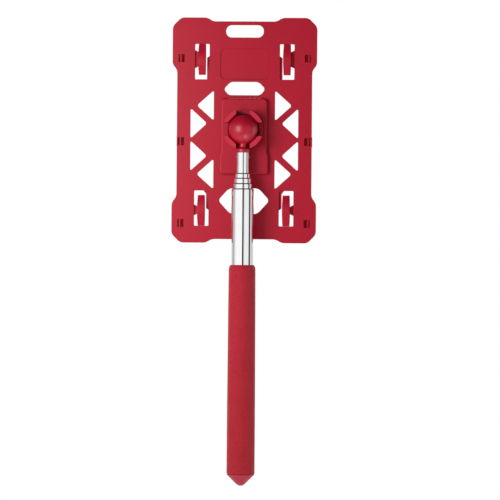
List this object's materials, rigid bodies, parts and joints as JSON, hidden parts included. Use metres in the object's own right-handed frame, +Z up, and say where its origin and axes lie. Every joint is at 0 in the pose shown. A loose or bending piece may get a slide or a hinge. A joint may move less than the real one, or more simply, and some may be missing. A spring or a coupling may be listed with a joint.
{
  "type": "telescoping hand-held sign paddle",
  "caption": "Moulded lattice sign panel with snap hooks and spring clips, on a ball and socket at the end of a telescoping pole with a foam grip.",
  "frame": {"origin": "on the pole's axis, halfway along the foam grip", "axes": "+Z up the pole from the grip to the ball, +Y from the pole to the panel and the sign card's side, +X to the right seen from the pole's side"},
  "size_m": [0.1232, 0.0375, 0.3978],
  "materials": {
    "red_plastic": "satin moulded red, fine even surface",
    "gloss_red_plastic": "smooth polished red",
    "red_foam": "closed-cell foam sleeve, fine grain",
    "red_cap": "soft moulded red",
    "chrome": "bright plated",
    "pin_steel": "plain",
    "bronze": "rolled strip",
    "nylon": "natural"
  },
  "bodies": {
    "handle": {"main_tube": "chrome", "foam_grip": "red_foam", "end_cap": "red_cap", "tube_stopper": "nylon"},
    "section_4": {"tube_4": "chrome", "friction_sleeve_4": "bronze"},
    "section_3": {"tube_3": "chrome", "friction_sleeve_3": "bronze"},
    "section_2": {"tube_2": "chrome", "friction_sleeve_2": "bronze"},
    "swivel": {"friction_sleeve_1": "bronze"},
    "section_1": {"tube_1": "chrome", "stud_pin": "pin_steel", "ball_stud": "gloss_red_plastic"},
    "head": {"socket_shoe": "red_plastic", "panel": "red_plastic"},
    "clip_upper_left": {"clip_upper_left": "red_plastic"},
    "clip_upper_right": {"clip_upper_right": "red_plastic"},
    "clip_lower_left": {"clip_lower_left": "red_plastic"},
    "clip_lower_right": {"clip_lower_right": "red_plastic"}
  },
  "joints": [
    {"name": "slide_4", "type": "slide", "parent": "handle", "child": "section_4", "axis": [0, 0, 1], "range_m": [0, 0.2]},
    {"name": "slide_3", "type": "slide", "parent": "section_4", "child": "section_3", "axis": [0, 0, 1], "range_m": [0, 0.2]},
    {"name": "slide_2", "type": "slide", "parent": "section_3", "child": "section_2", "axis": [0, 0, 1], "range_m": [0, 0.2]},
    {"name": "slide_1", "type": "slide", "parent": "section_2", "child": "swivel", "axis": [0, 0, 1], "range_m": [0, 0.2]},
    {"name": "section_1_spin", "type": "hinge", "parent": "swivel", "child": "section_1", "pos_m": [0, 0, 0], "axis": [0, 0, 1], "continuous": true},
    {"name": "head_tilt", "type": "hinge", "parent": "section_1", "child": "head", "pos_m": [0, 0, 0.2037], "axis": [1, 0, 0], "range_deg": [0, 180]},
    {"name": "clip_upper_left_flex", "type": "hinge", "parent": "head", "child": "clip_upper_left", "pos_m": [0, 0.0169, 0.27685], "axis": [1, 0, 0], "range_deg": [0, 5], "stiffness_Nm_per_rad": 0.6},
    {"name": "clip_upper_right_flex", "type": "hinge", "parent": "head", "child": "clip_upper_right", "pos_m": [0, 0.0169, 0.27685], "axis": [1, 0, 0], "range_deg": [0, 5], "stiffness_Nm_per_rad": 0.6},
    {"name": "clip_lower_left_flex", "type": "hinge", "parent": "head", "child": "clip_lower_left", "pos_m": [0, 0.0169, 0.12175], "axis": [-1, 0, 0], "range_deg": [0, 5], "stiffness_Nm_per_rad": 0.6},
    {"name": "clip_lower_right_flex", "type": "hinge", "parent": "head", "child": "clip_lower_right", "pos_m": [0, 0.0169, 0.12175], "axis": [-1, 0, 0], "range_deg": [0, 5], "stiffness_Nm_per_rad": 0.6}
  ]
}
